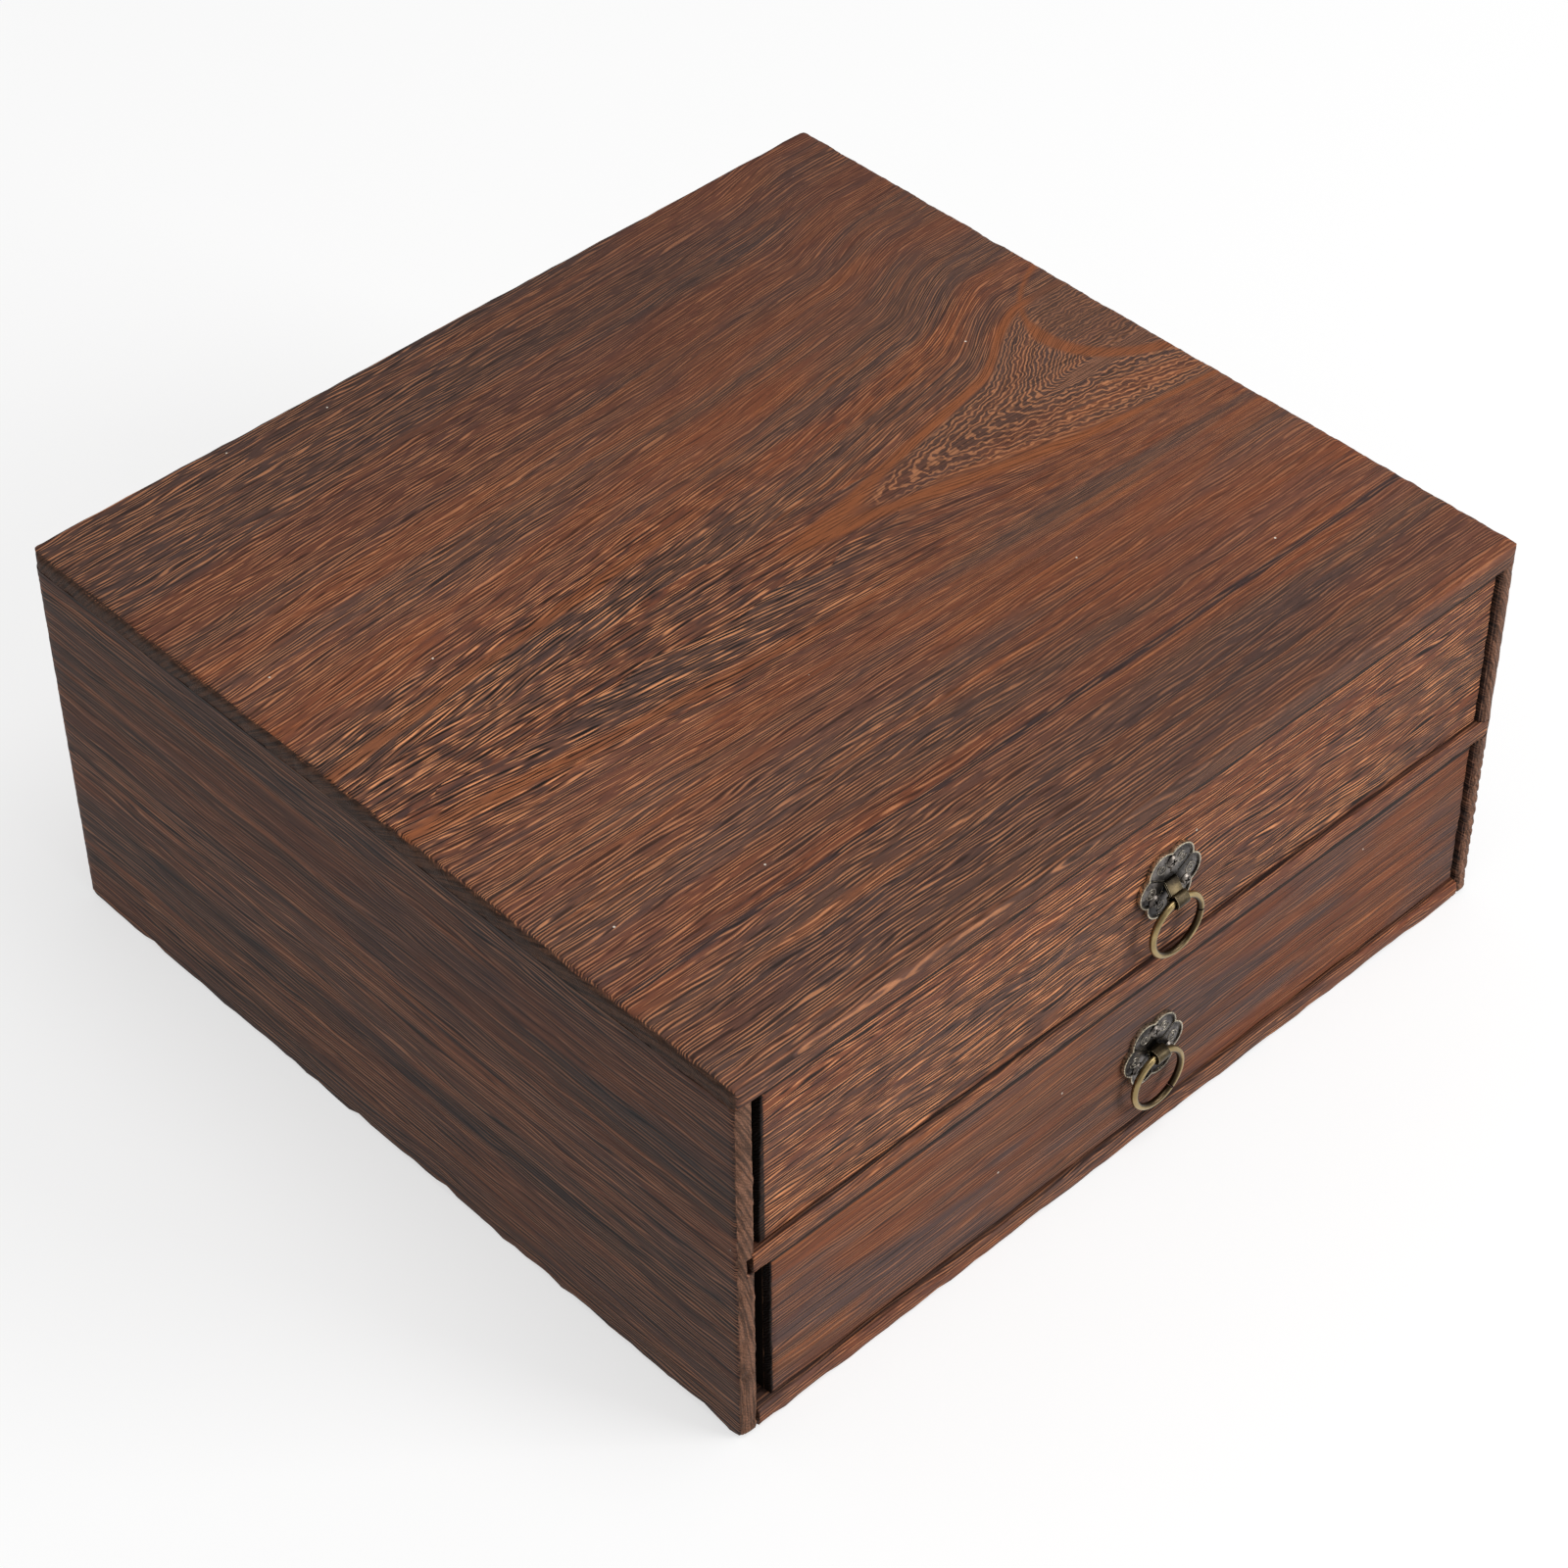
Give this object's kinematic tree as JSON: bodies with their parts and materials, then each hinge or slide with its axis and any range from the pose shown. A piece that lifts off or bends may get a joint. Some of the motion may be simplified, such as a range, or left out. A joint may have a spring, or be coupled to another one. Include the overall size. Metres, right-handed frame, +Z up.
{
  "type": "two-drawer desktop storage box",
  "caption": "Squat desktop storage box of brushed dark wood, drawers one above the other, each with a flower-shaped plate and a swinging ring pull of antique brass.",
  "frame": {"origin": "centre of the underside", "axes": "+X to the right along the longest side, +Z up, drawers open towards -Y"},
  "size_m": [0.25, 0.2441, 0.111],
  "materials": {
    "case_wood": "brushed and darkened, dull satin",
    "drawer_wood": "plain sanded, lightly stained",
    "plain_wood": "bare",
    "plate_brass": "dark antique patina with bright rubbed edges",
    "ring_brass": "antique brass, rubbed",
    "screw_brass": "antique brass"
  },
  "bodies": {
    "case": {"case_top": "case_wood", "case_bottom": "case_wood", "case_left_side": "case_wood", "case_right_side": "case_wood", "shelf": "case_wood", "back_panel": "case_wood", "case_dowels": "plain_wood"},
    "upper_drawer": {"upper_drawer_front": "case_wood", "upper_drawer_left_wall": "drawer_wood", "upper_drawer_right_wall": "drawer_wood", "upper_drawer_back": "drawer_wood", "upper_drawer_bottom": "drawer_wood", "upper_pull_plate": "plate_brass", "upper_pull_strap": "ring_brass", "upper_pull_screws": "screw_brass"},
    "upper_ring": {"upper_pull_ring": "ring_brass"},
    "lower_drawer": {"lower_drawer_front": "case_wood", "lower_drawer_left_wall": "drawer_wood", "lower_drawer_right_wall": "drawer_wood", "lower_drawer_back": "drawer_wood", "lower_drawer_bottom": "drawer_wood", "lower_pull_plate": "plate_brass", "lower_pull_strap": "ring_brass", "lower_pull_screws": "screw_brass"},
    "lower_ring": {"lower_pull_ring": "ring_brass"}
  },
  "joints": [
    {"name": "upper_drawer_slide", "type": "slide", "parent": "case", "child": "upper_drawer", "axis": [0, -1, 0], "range_m": [0, 0.19]},
    {"name": "upper_ring_swing", "type": "hinge", "parent": "upper_drawer", "child": "upper_ring", "pos_m": [0.0074, -0.1223, 0.0774], "axis": [-1, 0, 0], "range_deg": [-10, 190]},
    {"name": "lower_drawer_slide", "type": "slide", "parent": "case", "child": "lower_drawer", "axis": [0, -1, 0], "range_m": [0, 0.19]},
    {"name": "lower_ring_swing", "type": "hinge", "parent": "lower_drawer", "child": "lower_ring", "pos_m": [0.0063, -0.1214, 0.0275], "axis": [-1, 0, 0], "range_deg": [-6.5, 186.5]}
  ]
}
